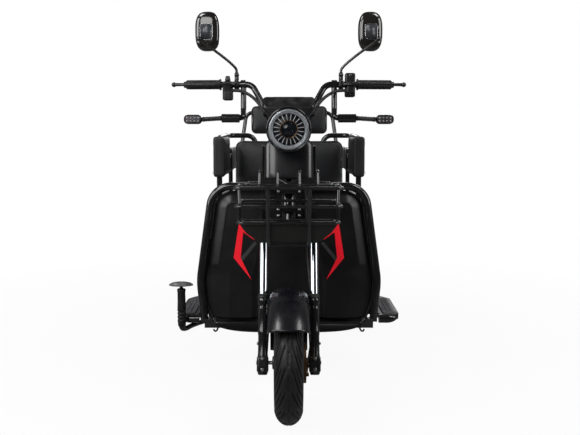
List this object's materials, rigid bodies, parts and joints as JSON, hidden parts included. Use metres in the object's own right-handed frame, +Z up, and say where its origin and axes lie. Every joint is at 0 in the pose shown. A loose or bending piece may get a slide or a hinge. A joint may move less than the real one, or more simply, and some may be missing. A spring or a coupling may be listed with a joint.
{
  "type": "electric tricycle",
  "caption": "Compact electric tricycle with a steered front wheel, leg shield and guard tube, front wire rack, driver and passenger seats",
  "frame": {"origin": "on the ground, on the centreline, at the middle of the overall length", "axes": "+Z up, the front faces -Y, +X is the vehicle's left side"},
  "size_m": [0.8285, 1.6444, 1.3405],
  "materials": {
    "tyre": "matte",
    "wheel_paint": "satin",
    "chrome": "polished",
    "gloss_black": "gloss",
    "frame_paint": "gloss",
    "matte_black": "satin",
    "stripe_red": "gloss",
    "rubber": "matte",
    "leather": "satin",
    "steel": "satin",
    "battery_case": "matte",
    "lens_clear": "clear",
    "lens_red": "gloss",
    "mirror": "mirror"
  },
  "bodies": {
    "frame": {"main_frame": "frame_paint", "guard_tube": "frame_paint", "leg_shield": "matte_black", "accent_stripes": "stripe_red", "inner_shield": "matte_black", "front_rack": "frame_paint", "rack_tray": "matte_black", "floor_pan": "matte_black", "floor_mats": "rubber", "belly_pan": "matte_black", "brake_pedal": "frame_paint", "seat_base": "frame_paint", "battery_block": "battery_case", "armrest_frame": "frame_paint", "armrest_pads": "leather", "driver_backrest": "leather", "rear_body": "matte_black", "rear_seat": "leather", "rear_hoop": "frame_paint", "rear_backrest": "leather", "tail_lamps": "lens_red", "plate_holder": "matte_black", "rear_bumper": "frame_paint", "rear_axle": "frame_paint", "rear_suspension": "steel"},
    "seat": {"seat_pan": "matte_black", "driver_seat": "leather"},
    "steering": {"fork_yoke": "frame_paint", "fork_stanchions": "chrome", "fork_sliders": "frame_paint", "front_axle": "steel", "brake_plate": "steel", "front_mudguard": "gloss_black", "handlebar": "frame_paint", "grips": "rubber", "switch_boxes": "matte_black", "brake_levers": "steel", "mirror_stems": "chrome", "mirror_shells": "gloss_black", "mirror_glass": "mirror", "signal_brackets": "frame_paint", "signal_stalks": "rubber", "turn_signals": "lens_clear", "headlamp_housing": "gloss_black", "headlamp_lens": "lens_clear", "dash_shroud": "matte_black", "column_cover": "gloss_black", "cable_conduits": "rubber", "front_brake_cable": "rubber"},
    "front_wheel": {"front_tyre": "tyre", "front_rim": "wheel_paint"},
    "rear_left_wheel": {"rear_left_tyre": "tyre", "rear_left_rim": "wheel_paint"},
    "rear_right_wheel": {"rear_right_tyre": "tyre", "rear_right_rim": "wheel_paint"}
  },
  "joints": [
    {"name": "steering", "type": "hinge", "parent": "frame", "child": "steering", "pos_m": [0, -0.59711, 0.18003], "axis": [0, 0.342, 0.9397], "range_deg": [-35, 35]},
    {"name": "front_wheel_spin", "type": "hinge", "parent": "steering", "child": "front_wheel", "pos_m": [0, -0.63, 0.192], "axis": [1, 0, 0], "continuous": true},
    {"name": "rear_left_wheel_spin", "type": "hinge", "parent": "frame", "child": "rear_left_wheel", "pos_m": [0.325, 0.55, 0.192], "axis": [1, 0, 0], "continuous": true},
    {"name": "rear_right_wheel_spin", "type": "hinge", "parent": "frame", "child": "rear_right_wheel", "pos_m": [-0.325, 0.55, 0.192], "axis": [1, 0, 0], "continuous": true},
    {"name": "seat_hinge", "type": "hinge", "parent": "frame", "child": "seat", "pos_m": [0, 0.044, 0.558], "axis": [1, 0, 0], "range_deg": [0, 75]}
  ]
}
